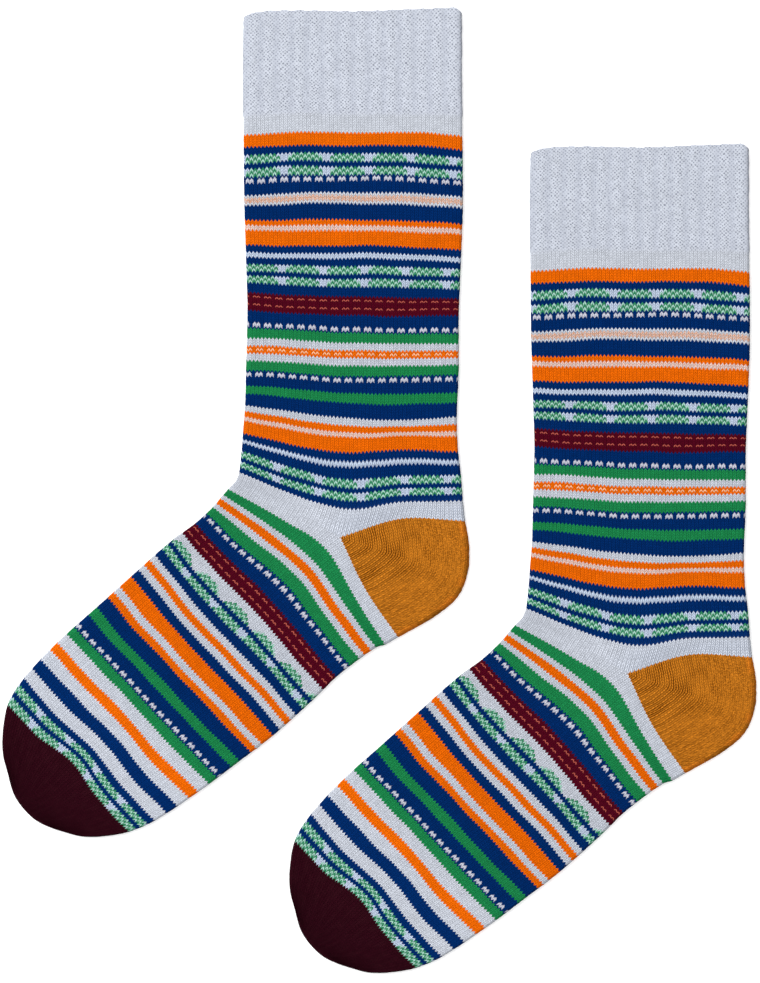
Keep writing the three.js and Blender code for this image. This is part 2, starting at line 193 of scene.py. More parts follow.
FOOT_STRIPES = (
    ("white", 8),
    ("green", 6), ("white", 3), ("orange", 4), ("white", 3), ("green", 5),
    ("blue", 1), ("dots", 1), ("blue", 5),
    ("maroon", 1), ("dashes", 1), ("maroon", 2), ("dashes", 1), ("maroon", 2),
    ("hills", 6), ("blue", 2), ("mottle", 3), ("blue", 4), ("white", 3), ("orange", 3), ("white", 3),
    ("blue", 4), ("orange", 6), ("white", 3), ("orange", 3), ("blue", 6), ("green", 4),
    ("blue", 5), ("dots", 1), ("blue", 1), ("green", 4), ("white", 5), ("orange", 4), ("white", 5),
    ("blue", 5), ("white", 5), ("blue", 3), ("mottle", 3), ("blue", 2), ("mottle", 3), ("toe", 24),
)
LEG_STRIPES_START = CUFF_TOP
FOOT_STRIPES_START = GORE - 1
MOTIF_GROUNDS = {
    "mottle": "leaf", "dots": "blue", "dashes": "maroon", "pale dashes": "orange", "hills": "white",
}


class Motif(NamedTuple):
    """Where a motif's repeats stand in one of its rows: the course, and the wale that they count from."""

    course: int
    wale: float
    repeat: int = 3


DOT_ROWS = (-0.2, 1.3)  # where a dot begins and ends, from its row: its yarn is thicker than a row
DOTS = (Motif(17, 0), Motif(75, 1), Motif(95, 2), Motif(180, 1), Motif(248, 2))
DASHES = (Motif(64, 1), Motif(67, 1), Motif(187, 0), Motif(190, 0))
PALE_DASHES = (Motif(85, 2),)
MOTTLES = (
    Motif(8, 10.5, 11), Motif(13, 10.5, 11), Motif(51, 9.5, 11), Motif(56, 9.5, 11),
    Motif(133, 9.5, 11), Motif(138, 9.5, 11), Motif(201, 9, 11), Motif(281, 10.5, 12), Motif(286, 10.5, 12),
)
MOTTLE_GAPS = (2, 1.4, 1)  # half the white gap, in wales, in each of a mottled band's rows
HILLS = Motif(193, 4, 11)
HILL_HALVES = {3: 2.1, 4: 3.1, 5: 4.1}  # half a hill's width, in wales, in the band's rows that have it
LOW_LINE = (127.8, 129.3)  # a thin pale line in the blue under the low orange band
TWISTED_ROWS = ((24, 26), (35, 37), (117, 119))  # the peach stripe, and the pinkish ones in orange bands

# How the knit is drawn
CHEVRON = 0.95  # how many rows a stitch's two legs slope down by
WOBBLE = 1.4  # how many rows the courses wander by, for the full range of the noise
RAMP_STOPS = 30  # the most stripes that one colour ramp holds
RAMP_ROWS = 100  # the most rows that a ramp's stripes start in
RAMP_REACH = RAMP_ROWS + 20  # the rows from a ramp's first place to its last
STITCH_TONE = (0.93, 0.14)  # the darkest stitch's tone, and how much lighter the lightest is
PATCH_TONE = (0.96, 0.08)  # the same for broad patches of the cloth
FIBRE_HEIGHT = 0.35  # the height of the yarn's fibres, as a share of a stitch's
STITCH_SHADE = 0.38  # how much darker the grooves between stitches are
BACK_FOLD = (56.6, 57.7, 60.5, 63.5)  # the wales over which the shade of the back fold comes and goes
BACK_FOLD_SHADE = 0.55
TWIST_WHITE = 0.45  # how much white and how much orange there is in a twisted yarn
TWIST_ORANGE = 0.16
WORN_SHADE = 0.2  # how much of the toe's fine lines shows
ANKLE_LIGHT = 0.07  # the pale ankle's extra light, and the rows over which it comes and goes
ANKLE_LIGHT_COMES = (138, 145)
ANKLE_LIGHT_GOES = (153, 166)
FOOT_LIGHT = 0.13  # the foot's, which comes over some rows and stays up to the toe
FOOT_LIGHT_COMES = (244, 264)
STRETCHED_WALES = (20, 34, 58, 66)  # where the pale rows are stretched over the heel pocket
STRETCHED_ROWS = (141, 148)
STRETCHED_SHADE = 0.35
HEEL_CALM = (0.35, 0.8)  # where the heel's lines fade to an even surface, from the gore point to the fold
HEEL_RIM = (0.92, 0.99)  # where its bright rim along the fold comes

# Geometry Nodes: what the relief is given, and the steps of its noise for each wale, course and seed
RELIEF_INPUTS = {
    "Geometry": "Geometry",
    "Rib height": "Float",
    "Groove depth": "Float",
    "Unevenness": "Float",
    "Seed": "Int",
    "Material": "Material",
}
WAVES = (0.12, 0.07, 3.7)  # broad waves of the upper layer
FOLD_BUMPS = (0.3, 0.42, 1.3)  # small bumps along the folds
FOLD_BUMPS_MORE = 1.6  # how much higher they are than the waves
RIBBED_GROOVES_LESS = 0.6  # how much shallower the grooves between wales are on the ribs

# The stage, in metres, and the steps that make it all
SOCK_PLACES = {"sock_1": (-56.0, 197.5), "sock_2": (61.7, 141.7)}  # in millimetres
PHOTO_CENTRE = (0.17, -0.74)  # the middle of the picture, in the pair's frame, in millimetres
FLOOR_HALF = 3.0
KEY_PLACE = (-0.85, 0.6, 1.8)
KEY_SIZE = 0.9
FRAMED_AT = 3.0 * MM  # the height over the floor where the picture is measured
STEPS = ("cuffs", "legs", "heels", "feet", "toes", "stage")


def linear(red, green, blue):
    """A colour as Blender's linear values, from its values on a screen, 0 to 255."""
    shares = (value / 255 for value in (red, green, blue))
    return tuple(s / 12.92 if s <= 0.04045 else ((s + 0.055) / 1.055) ** 2.4 for s in shares)


def number_property(name, description, value, **more):
    return bpy.props.FloatProperty(name=name, description=description, default=value, **more)


def length_property(name, description, millimetres):
    return number_property(name, description, millimetres * MM, unit="LENGTH", precision=5)


def colour_property(name, description, red, green, blue):
    return bpy.props.FloatVectorProperty(
        name=name, description=description, default=linear(red, green, blue), subtype="COLOR", min=0, max=1
    )


class SockCloth(bpy.types.PropertyGroup):
    """The cloth's sizes."""

    plain_wall: length_property("Plain wall", "Thickness of one layer of the plain knit", 1.7)
    ribbed_wall: length_property("Ribbed wall", "Thickness of one layer of the cuff under its ribs", 2.0)
    hollow: length_property("Hollow", "Space left between the upper and the lower layer", 0.6)
    rib_height: length_property("Rib height", "How far the cuff's ribs stand out", 0.3)
    wale_groove: length_property("Groove", "Depth of the groove between two columns of stitches", 0.22)
    unevenness: length_property("Unevenness", "How far the hand of the cloth is from flat", 0.18)
    stitch_relief: length_property("Stitch relief", "Depth of the bump that draws single stitches", 0.5)
    seed: bpy.props.IntProperty(name="Seed", description="Fixes the unevenness of the cloth", default=7)


class SockYarns(bpy.types.PropertyGroup):
    """The yarns' colours, and the colours of the shade painted into the knit's pits and grooves."""

    cuff: colour_property("Cuff", "Yarn of the ribbed cuff", 202, 207, 217)
    white: colour_property("White", "Pale yarn of the stripes and the ankle", 202, 207, 218)
    orange: colour_property("Orange", "Orange yarn", 240, 106, 6)
    blue: colour_property("Blue", "Dark blue yarn", 2, 43, 103)
    green: colour_property("Green", "Green yarn", 30, 134, 76)
    leaf: colour_property("Mottle green", "Green yarn of the mottled bands", 48, 134, 92)
    mint: colour_property("Mint", "Light yarn of the mottled bands", 161, 207, 191)
    ice: colour_property("Ice", "Pale yarn of the thin lines and gaps on blue", 190, 204, 226)
    maroon: colour_property("Dark red", "Dark red yarn of the band with dashes", 82, 8, 28)
    dash: colour_property("Dashes", "Yarn of the dashes on the dark red band", 176, 84, 72)
    pale_dash: colour_property("Pale dashes", "Yarn of the dashes on the narrow orange band", 250, 190, 150)
    dot: colour_property("Dots", "Yarn of the dots on the blue bands", 202, 204, 218)
    peach: colour_property("Peach", "Twisted yarn of the peach stripe", 220, 178, 152)
    pink: colour_property("Pinkish white", "Twisted yarn inside the wide orange band", 238, 200, 184)
    heel: colour_property("Heel", "Ochre yarn of the heel pocket", 208, 126, 34)
    toe: colour_property("Toe", "Almost black red yarn of the toe", 54, 12, 25)
    # Colours of painted shade: in the cuff's pits and furrows, in the grooves of the stretched ankle rows,
    # and in the heel's grooves
    cuff_pit_shade: colour_property("Cuff pits", "Shade in the pits of the ribbed cuff", 116, 122, 142)
    ankle_groove_shade: colour_property("Ankle grooves", "Shade in the stretched rows over the heel", 92, 124, 168)
    heel_groove_shade: colour_property("Heel grooves", "Shade between the wales of the heel", 88, 38, 0)
    heel_rim: colour_property("Heel rim", "Bright yarn along the fold of the heel", 232, 128, 34)
    toe_worn: colour_property("Worn toe", "Lighter yarn in the toe's fine lines", 84, 40, 48)


class SockStage(bpy.types.PropertyGroup):
    """The floor, lights and camera."""

    floor: colour_property("Floor", "Colour of the floor", 250, 250, 250)
    floor_glow: number_property("Floor glow", "Light of the floor itself, which thins the shadows", 0.2)
    lens: number_property("Lens", "Focal length of the camera, in mm", 200)
    framed_height: length_property("Framed height", "Height of the picture, measured on the socks", 403.0)
    key_power: number_property("Key light", "Power of the window-like light, in watts", 30, unit="POWER")
    fill: number_property("Fill", "Strength of the light from all round", 1.1)


class Stations(NamedTuple):
    """Course lines to draw through: for each its course, its sharpness at the middle and its points."""

    courses: np.ndarray
    kinks: np.ndarray
    points: np.ndarray


def stations_of(line):
    """The five points of a table's line."""
    start = np.array(line.front, float)
    end = np.array(line.back, float)
    along = (end - start) / np.linalg.norm(end - start)
    towards_toe = np.array((along[1], -along[0]))
    shares = np.linspace(0, 1, len(line.bows) + 2)[1:-1]
    between = [start + share * (end - start) + bow * towards_toe for share, bow in zip(shares, line.bows)]
    return [start, *between, end]


def stack(lines, split_row, split_first):
    """A table's lines with the split row before or after them."""
    rows = [(line.course, 0, stations_of(line)) for line in lines]
    split = (GORE, 1, np.array((*INSTEP_HALF, *split_row), float))
    rows = [split, *rows] if split_first else [*rows, split]
    courses, kinks, points = zip(*rows)
    return Stations(np.array(courses, float), np.array(kinks, float), np.array(points))


LEG = stack(LEG_LINES, OVER_HEEL, split_first=False)
FOOT = stack(FOOT_LINES, UNDER_HEEL, split_first=True)


def hermite(start, end, slope_start, slope_end, share):
    """The cubic between two values, with its slopes there over the whole stretch."""
    square = share**2
    cube = share**3
    return (
        (2 * cube - 3 * square + 1) * start
        + (cube - 2 * square + share) * slope_start
        + (3 * square - 2 * cube) * end
        + (cube - square) * slope_end
    )


def course_lines(stack_of_lines, courses):
    """The lines at any courses, on smooth curves through the stack's own lines."""
    at, kinks, points = stack_of_lines
    order = np.arange(len(at))
    before = np.maximum(order - 1, 0)
    after = np.minimum(order + 1, len(at) - 1)
    slopes = (points[after] - points[before]) / (at[after] - at[before])[:, None, None]
    i = np.clip(np.searchsorted(at, courses, side="left") - 1, 0, len(at) - 2)
    length = at[i + 1] - at[i]
    share = (courses - at[i]) / length
    stretch = length[:, None, None]
    leaving, arriving = slopes[i] * stretch, slopes[i + 1] * stretch
    drawn = hermite(points[i], points[i + 1], leaving, arriving, share[:, None, None])
    return Stations(courses, kinks[i] + share * (kinks[i + 1] - kinks[i]), drawn)


def across(lines, shares):
    """The points of each line at shares of the way across, 0 at the front fold and 1 at the back one."""
    points = lines.points
    last = points.shape[1] - 1
    middle = last // 2
    steps = np.diff(points, axis=1)
    even = np.concatenate([steps[:, :1], (steps[:, 1:] + steps[:, :-1]) / 2, steps[:, -1:]], axis=1)
    leaving = even[:, :-1].copy()
    arriving = even[:, 1:].copy()
    kink = lines.kinks[:, None]
    leaving[:, middle] += kink * (steps[:, middle] - leaving[:, middle])
    arriving[:, middle - 1] += kink * (steps[:, middle - 1] - arriving[:, middle - 1])
    place = np.clip(shares, 0, 1) * last
    i = np.minimum(place.astype(int), last - 1)
    row = np.arange(len(points))[:, None]
    share = (place - i)[..., None]
    return hermite(points[row, i], points[row, i + 1], leaving[row, i], arriving[row, i], share)


def chord_lengths(lines):
    return np.linalg.norm(lines.points[:, -1] - lines.points[:, 0], axis=1)


def round_the_tube(wales, lengths, radius):
    """Where each wale lies on each ring of a flattened tube.

    Returns how far along the line the centre is that the cloth bends round, and the angle that it has turned
    from facing up. Wale 0 is on the front fold, and the first half of the round is the upper layer.
    """
    flat = (lengths - 2 * radius)[:, None]
    quarter = EDGE_WALE_SHARE * math.pi * radius[:, None] / 2
    place = wales[None, :] / WALES_ROUND * (2 * flat + 4 * quarter)
    first_arc = np.clip(place / quarter, 0, 1)
    upper = np.clip(place - quarter, 0, flat)
    back_arc = np.clip((place - quarter - flat) / quarter, 0, 2)
    lower = np.clip(place - 3 * quarter - flat, 0, flat)
    last_arc = np.clip((place - 3 * quarter - 2 * flat) / quarter, 0, 1)
    centre = radius[:, None] + upper - lower
    turn = (first_arc + back_arc + last_arc - 1) * math.pi / 2
    return centre, turn


def outer_radius(cloth, ribbed):
    """Half the flattened tube's thickness: greater where it is ribbed, dying away to the plain."""
    plain = cloth.plain_wall / MM + cloth.hollow / MM / 2
    thick = cloth.ribbed_wall / MM + cloth.hollow / MM / 2
    return plain + (thick - plain) * ribbed


def ribbing(courses):
    """How ribbed the cuff is at each course: fully, until it fades to the plain rows at its end."""
    share = np.clip((courses - RIBBED_UNTIL) / (RIBS_GONE - RIBBED_UNTIL), 0, 1)
    return 1 - share * share * (3 - 2 * share)


class Skin(NamedTuple):
    """A grid of points, in millimetres, with the wale and course of each and what the relief needs."""

    points: np.ndarray
    wales: np.ndarray
    courses: np.ndarray
    relief: np.ndarray
    ribbed: np.ndarray
    facing_down: np.ndarray
    outward: np.ndarray


def away_from(points, plan_centre, radius):
    """The direction of each point from the middle of the fold or layer that it is on."""
    centre = np.dstack([plan_centre, np.broadcast_to(radius[:, None], plan_centre.shape[:2])])
    offset = points - centre
    return offset / np.maximum(np.linalg.norm(offset, axis=-1, keepdims=True), 1e-9)


def tube_skin(cloth, stack_of_lines, courses, wales, inset=0.0, relief=1.0, ribs=False):
    """The skin of a flattened tube. The inset is how far it lies inside the outer surface."""
    lines = course_lines(stack_of_lines, courses)
    lengths = chord_lengths(lines)
    ribbed = ribbing(courses) if ribs else np.zeros(len(courses))
    radius = outer_radius(cloth, ribbed)
    centre, turn = round_the_tube(wales, lengths, radius)
    inner = (radius - inset)[:, None]
    plan = across(lines, (centre + inner * np.sin(turn)) / lengths[:, None])
    height = radius[:, None] + inner * np.cos(turn)
    shape = height.shape
    points = np.dstack([plan, height])
    return Skin(
        points,
        np.broadcast_to(wales, shape),
        np.broadcast_to(courses[:, None], shape),
        np.full(shape, relief),
        np.broadcast_to(ribbed[:, None] * relief, shape),
        (1 - np.cos(turn)) / 2,
        away_from(points, across(lines, centre / lengths[:, None]), radius),
    )


def crease(skin):
    """Sinks the soft troughs into the upper layer and, less deeply, into the lower one."""
    sunk = np.zeros(skin.points.shape[:2])
    for one in CREASES:
        start = np.array(one.start, float)
        run = np.array(one.end, float) - start
        from_start = skin.points[..., :2] - start
        share = (from_start @ run) / (run @ run)
        beside = (from_start @ np.array((run[1], -run[0]))) / np.linalg.norm(run)
        beyond = np.abs(share - 0.5) * 2
        taper = np.exp(-np.clip(beyond - CREASE_FULL, 0, None) ** 2 * CREASE_TAPER)
        sunk += one.depth * taper * np.exp(-((beside / one.width) ** 2))
    side = np.where(skin.facing_down > 0.5, -LOWER_CREASES * np.clip(sunk, 0, None), sunk)
    skin.points[..., 2] -= side * np.abs(1 - 2 * skin.facing_down) ** 2


def numbered(skin, first, closed):
    """A skin's grid of point numbers, wales and courses. A closed one ends with its first column again."""
    numbers = first + np.arange(skin.wales.size).reshape(skin.wales.shape)
    grid = np.dstack([numbers, skin.wales, skin.courses])
    if not closed:
        return grid
    return np.concatenate([grid, grid[:, :1] + (0, WALES_ROUND, 0)], axis=1)


def faces_of(grid):
    """The four corners of each face of a grid of numbered points."""
    corners = (grid[:-1, :-1], grid[:-1, 1:], grid[1:, 1:], grid[1:, :-1])
    return np.stack(corners, axis=2).reshape(-1, 4, 3)


def wall_mesh(name, outer, inner, place, closed=True, tip=False):
    """One closed wall between an outer and an inner skin, with its counts as a UV map and attributes.

    A closed wall runs all the way round a tube. A tip has no open rim at its far end.
    """
    crease(outer)
    outside = numbered(outer, 0, closed)
    inside = numbered(inner, outer.wales.size, closed)
    edges = [(outside[0], inside[0], False)]
    if not tip:
        edges.append((outside[-1], inside[-1], True))
    if not closed:
        edges += [(outside[:, 0], inside[:, 0], True), (outside[:, -1], inside[:, -1], False)]
    parts = [faces_of(outside), faces_of(inside)[:, ::-1]]
    for outer_edge, inner_edge, flip in edges:
        # The strip takes its wales and courses from the outer edge
        counted = np.column_stack([inner_edge[:, 0], outer_edge[:, 1:]])
        strip = faces_of(np.stack([counted, outer_edge]))
        parts.append(strip[:, ::-1] if flip else strip)
    faces = np.concatenate(parts)
    points = np.concatenate([skin.points.reshape(-1, 3) for skin in (outer, inner)])
    points[:, :2] += place
    points *= MM
    if enclosed_volume(points, faces[..., 0].astype(int)) < 0:
        faces = faces[:, ::-1]
    mesh = bpy.data.meshes.new(name)
    mesh.from_pydata(points.tolist(), [], faces[..., 0].astype(int).tolist())
    layer = mesh.uv_layers.new(name="stitches")
    layer.data.foreach_set("uv", faces[..., 1:].astype(np.float32).ravel())
    for field in ("wales", "courses", "relief", "ribbed", "facing_down", "outward"):
        kind, key = ("FLOAT_VECTOR", "vector") if field == "outward" else ("FLOAT", "value")
        values = np.concatenate([getattr(skin, field).ravel() for skin in (outer, inner)])
        mesh.attributes.new(field, kind, "POINT").data.foreach_set(key, values.astype(np.float32))
    mesh.shade_smooth()
    mesh.set_sharp_from_angle(angle=math.radians(SHARP_ANGLE))
    mesh.validate()
    return mesh


def enclosed_volume(points, quads):
    """Six times the volume inside the faces, negative where they face inwards."""
    a, b, c, d = (points[quads[:, k]] for k in range(4))
    return float((np.cross(b, c) * a).sum() + (np.cross(c, d) * a).sum())


def round_wales():
    return np.arange(WALES_ROUND * POINTS_PER_WALE) / POINTS_PER_WALE


def rows_between(start, end):
    """Every whole course between two, and the two themselves."""
    inside = np.arange(math.floor(start) + 1, math.ceil(end))
    return np.concatenate([[start], inside, [end]]).astype(float)


def joined(*skins):
    """Several skins of the same wales, one after the other."""
    return Skin(*(np.concatenate(parts) for parts in zip(*skins)))


def tube_mesh(name, cloth, stack_of_lines, rows, place):
    """A plain length of a sock: the leg or the foot."""
    outer = tube_skin(cloth, stack_of_lines, rows_between(*rows), round_wales())
    steps = np.linspace(*rows, INNER_STEPS)
    inner = tube_skin(cloth, stack_of_lines, steps, round_wales(), inset=cloth.plain_wall / MM, relief=0.0)
    return wall_mesh(name, outer, inner, place)


def leg_mesh(name, cloth, place):
    return tube_mesh(name, cloth, LEG, LEG_ROWS, place)


def foot_mesh(name, cloth, place):
    return tube_mesh(name, cloth, FOOT, FOOT_ROWS, place)


def drop_corners(skin, share):
    """Rounds the two corners of the cuff's mouth, where its folds meet the rim, and notches the rim."""
    near_top = np.clip(1 - (skin.courses - CUFF_TOP) / CORNER_ROWS, 0, 1) ** 1.5
    corners = sum(
        drop * np.clip(1 - from_fold / width, 0, 1) ** 2
        for (width, drop), from_fold in zip(MOUTH_CORNERS, (share, 1 - share))
    )
    between_ribs = 0.5 + 0.5 * np.cos((skin.wales - FIRST_FURROW) * TURN / RIB_WALES)
    skin.points[..., 1] -= corners * near_top + RIM_NOTCH * between_ribs * near_top**2


def cuff_mesh(name, cloth, place):
    """The ribbed cuff, with its rim rolled over into the mouth."""
    half_wall = cloth.ribbed_wall / MM / 2
    wales = round_wales()
    start = CUFF_TOP + half_wall / COURSE_HEIGHT

    def ring(roll, inner):
        course = np.array([CUFF_TOP + half_wall * (1 - math.sin(roll)) / COURSE_HEIGHT])
        outward = half_wall * (1 - math.cos(roll))
        inset, relief = (2 * half_wall - outward, 0.0) if inner else (outward, RIM_RELIEF)
        return tube_skin(cloth, LEG, course, wales, inset=inset, relief=relief, ribs=True)

    rolls = np.radians(RIM_ROLLS)
    body = tube_skin(cloth, LEG, rows_between(start, CUFF_END), wales, ribs=True)
    outer = joined(*(ring(roll, inner=False) for roll in rolls), body)
    steps = np.linspace(start, CUFF_END, INNER_STEPS * 2)
    wall_there = outer_radius(cloth, ribbing(steps)) - cloth.hollow / MM / 2
    inner_body = tube_skin(cloth, LEG, steps, wales, inset=wall_there, relief=0.0, ribs=True)
    # The rim's first ring is where the two skins meet, and only the outer one has it
    inner = joined(*(ring(roll, inner=True) for roll in rolls[1:]), inner_body)
    share = np.where(wales < WALES_ROUND / 2, wales, WALES_ROUND - wales) * 2 / WALES_ROUND
    for skin in (outer, inner):
        drop_corners(skin, share[None, :])
    return wall_mesh(name, outer, inner, place)


def fold_curve(shares):
    """Points of the fold at the back of the heel, from over it to under it."""
    knots = np.array((OVER_HEEL[1], *HEEL_FOLD, UNDER_HEEL[1]), float)
    slopes = np.gradient(knots, axis=0)
    place = shares * (len(knots) - 1)
    i = np.minimum(place.astype(int), len(knots) - 2)
    return hermite(knots[i], knots[i + 1], slopes[i], slopes[i + 1], (place - i)[:, None])


def beside_chord(line, shares):
    """A split row's points as shares along and beside the chord from the gore point to the fold."""
    gore = np.array(GORE_POINT)
    chord = across(line, np.ones((1, 1)))[0, 0] - gore
    offset = across(line, (1 + shares) / 2) - gore
    square = chord @ chord
    return (offset @ chord) / square, (offset @ np.array((chord[1], -chord[0]))) / square


def heel_skin(cloth, fans, wales, inset=0.0, relief=1.0):
    """The skin of the heel pocket, whose rows fan out from the gore point to the fold at the back."""
    gore = np.array(GORE_POINT)
    over, under = (course_lines(half, np.array([float(GORE)])) for half in (LEG, FOOT))
    lengths = chord_lengths(over) + (chord_lengths(under) - chord_lengths(over)) * fans
    radius = outer_radius(cloth, np.zeros(len(fans)))
    centre, turn = round_the_tube(wales, lengths, radius)
    share = (centre + (radius - inset)[:, None] * np.sin(turn)) / lengths[:, None]
    away = np.maximum(2 * share - 1, HEEL_START)
    chord = (fold_curve(fans) - gore)[:, None, :]
    aside = np.stack([chord[..., 1], -chord[..., 0]], axis=-1)
    edges = [Stations(*(np.repeat(part, len(fans), axis=0) for part in line)) for line in (over, under)]
    fan = fans[:, None]

    def fan_points(shares):
        over_row, under_row = (beside_chord(edge, shares) for edge in edges)
        along, beside = (first + (second - first) * fan for first, second in zip(over_row, under_row))
        return gore + chord * along[..., None] + aside * beside[..., None]

    height = radius[:, None] + (radius - inset)[:, None] * np.cos(turn)
    points = np.dstack([fan_points(away), height])
    middle = fan_points(np.maximum(2 * centre / lengths[:, None] - 1, HEEL_START))
    stitch_wales, stitch_courses = mitre((over, under), fan, away, chord, wales)
    return Skin(
        points,
        stitch_wales,
        stitch_courses,
        np.full(height.shape, relief),
        np.zeros(height.shape),
        (1 - np.cos(turn)) / 2,
        away_from(points, middle, radius),
    )


def mitre(edges, fan, away, chord, wales):
    """The pocket's stitch counts: its wales turn at the line that halves the angle between its two edges."""
    over, under = (across(edge, np.ones((1, 1)))[0, 0] - np.array(GORE_POINT) for edge in edges)
    over_length, under_length = np.linalg.norm(over), np.linalg.norm(under)
    angle = math.acos(over @ under / over_length / under_length)
    from_over = fan * angle
    from_under = (1 - fan) * angle
    sharp = 30  # how sharply the wales turn there
    cosine = (np.cos(from_over) ** sharp + np.cos(from_under) ** sharp) ** (1 / sharp)
    reach = np.linalg.norm(chord, axis=-1) / (over_length + (under_length - over_length) * fan)
    straight = away * reach * cosine
    share = straight + (away - straight) * away**2
    half = math.tan(angle / 2)
    rows_across = np.where(fan < 0.5, np.tan(from_over) / half / 2, 1 - np.tan(from_under) / half / 2)
    upper = wales[None, :] <= WALES_ROUND / 2
    quarter = WALES_ROUND / 4
    stitch_wales = np.where(upper, quarter * (1 + share), quarter * (3 - share))
    return stitch_wales, HEEL_ROWS * share * rows_across


def heel_mesh(name, cloth, place):
    """The heel pocket: a sheet bent round the fold at the back."""
    first, last = HEEL_WALES
    wales = np.arange(first * POINTS_PER_WALE, last * POINTS_PER_WALE + 1) / POINTS_PER_WALE
    fans = np.linspace(0, 1, HEEL_FANS + 1)
    inner = heel_skin(cloth, fans, wales, inset=cloth.plain_wall / MM, relief=0.0)
    return wall_mesh(name, heel_skin(cloth, fans, wales), inner, place, closed=False)


def toe_skin(cloth, courses, inset, relief):
    """The toe's skin, with the rings that roll over the tip, furthest out in its middle."""
    wales = round_wales()
    body = tube_skin(cloth, FOOT, courses, wales, inset=inset, relief=relief)
    line = course_lines(FOOT, np.array([float(TOE_END)]))
    along = line.points[0, -1] - line.points[0, 0]
    along /= np.linalg.norm(along)
    forward = np.array((along[1], -along[0]))
    radius = outer_radius(cloth, np.zeros(1))
    length = chord_lengths(line)
    centre, turn = round_the_tube(wales, length, radius)
    share = (centre[0] + (radius - inset) * np.sin(turn[0])) / length[0]
    bulge = np.clip(np.sin(math.pi * share), 0, 1) ** 0.9
    rings = np.repeat(body.points[-1:], len(TIP_ROLLS), axis=0)
    for ring, roll in zip(rings, np.radians(TIP_ROLLS)):
        ring[:, :2] += forward * ((radius - inset) * math.sin(roll) * bulge)[:, None]
        ring[:, 2] = radius + (ring[:, 2] - radius) * math.cos(roll)
    count = len(rings)
    last = Skin(*(np.repeat(part[-1:], count, axis=0) for part in body))
    course_step = math.pi / 2 * (radius[0] - inset) / COURSE_HEIGHT / count
    more = TOE_END + course_step * np.arange(1, count + 1)
    fade = np.linspace(1, 0, count + 1)[1:]
    last = last._replace(points=rings, relief=last.relief * fade[:, None])
    return joined(body, last._replace(courses=np.repeat(more[:, None], len(wales), axis=1)))


def toe_mesh(name, cloth, place):
    """The toe cap, which rolls over its tip and closes there."""
    outer = toe_skin(cloth, rows_between(FOOT_END, TOE_END), 0.0, 1.0)
    inner = toe_skin(cloth, np.linspace(FOOT_END, TOE_END, INNER_STEPS), cloth.plain_wall / MM, 0.0)
    mesh = wall_mesh(name, outer, inner, place, tip=True)
    close_tip(mesh)
    return mesh


def close_tip(mesh):
    """Joins the upper and the lower layer where they meet at the tip."""
    work = bmesh.new()
    work.from_mesh(mesh)
    bmesh.ops.remove_doubles(work, verts=work.verts, dist=MERGED)
    open_edges = [edge for edge in work.edges if edge.is_boundary]
    if open_edges:
        bmesh.ops.holes_fill(work, edges=open_edges, sides=0)
    work.to_mesh(mesh)
    work.free()


class Graph:
    """Adds nodes to one node tree, of a material, the world or Geometry Nodes."""

    def __init__(self, tree):
        self.tree = tree

    def node(self, kind, settings=None, inputs=None):
        """One node, with its settings first and then the values or links of its sockets."""
        made = self.tree.nodes.new(kind)
        for name, value in (settings or {}).items():
            setattr(made, name, value)
        for key, value in (inputs or {}).items():
            source = value.socket if isinstance(value, Number) else value
            if isinstance(source, bpy.types.NodeSocket):
                self.tree.links.new(source, made.inputs[key])
            else:
                made.inputs[key].default_value = source
        return made

    def ramp(self, place, stops):
        """The colour of the last stop that is not past a place."""
        made = self.node("ShaderNodeValToRGB", inputs={0: place})
        ramp = made.color_ramp
        ramp.interpolation = "CONSTANT"
        while len(ramp.elements) < len(stops):
            ramp.elements.new(1.0)
        for element, (position, colour) in zip(ramp.elements, stops):
            element.position = position
            element.color = colour
        return made.outputs[0]

    def mix(self, factor, first, second, blend="MIX"):
        """A colour between two."""
        settings = {"data_type": "RGBA", "blend_type": blend}
        return self.node("ShaderNodeMix", settings, {0: factor, 6: first, 7: second}).outputs[2]

    def noise(self, place, detail):
        """Smooth noise at a place of two or three numbers."""
        vector = self.node("ShaderNodeCombineXYZ", inputs=dict(enumerate(place))).outputs[0]
        settings = {"noise_dimensions": f"{len(place)}D"}
        made = self.node("ShaderNodeTexNoise", settings, {"Vector": vector, "Scale": 1.0, "Detail": detail})
        return Number(self, made.outputs[0])


def maths(operation, swapped=False):
    """A method of Number that adds one Math node."""

    def method(self, *others):
        values = (*others, self) if swapped else (self, *others)
        node = self.graph.node("ShaderNodeMath", {"operation": operation}, dict(enumerate(values)))
        return Number(self.graph, node.outputs[0])

    return method


class Number:
    """A number that varies over a surface. Arithmetic on it adds Math nodes."""

    def __init__(self, graph, socket):
        self.graph = graph
        self.socket = socket

    __add__ = __radd__ = maths("ADD")
    __sub__ = maths("SUBTRACT")
    __rsub__ = maths("SUBTRACT", swapped=True)
    __mul__ = __rmul__ = maths("MULTIPLY")
    __truediv__ = maths("DIVIDE")
    __mod__ = maths("FLOORED_MODULO")
    __pow__ = maths("POWER")
    __gt__ = maths("GREATER_THAN")
    __lt__ = maths("LESS_THAN")
    __abs__ = maths("ABSOLUTE")
    floor = maths("FLOOR")
    fraction = maths("FRACT")
    cosine = maths("COSINE")
    sine = maths("SINE")

    def inside(self, low, high):
        """1 between two values."""
        return (self > low) * (self < high)

    def smooth(self, low, high):
        """0 below low, 1 above high, and smooth between."""
        limits = {"Value": self, "From Min": low, "From Max": high}
        made = self.graph.node("ShaderNodeMapRange", {"interpolation_type": "SMOOTHSTEP"}, limits)
        return Number(self.graph, made.outputs[0])

    def hump(self, low, high, high_end, low_end):
        """1 from high to high_end, 0 outside low and low_end, and smooth between."""
        return self.smooth(low, high) * (1 - self.smooth(high_end, low_end))


def new_graph(name):
    material = bpy.data.materials.new(name)
    material.use_nodes = True
    material.node_tree.nodes.clear()
    return material, Graph(material.node_tree)


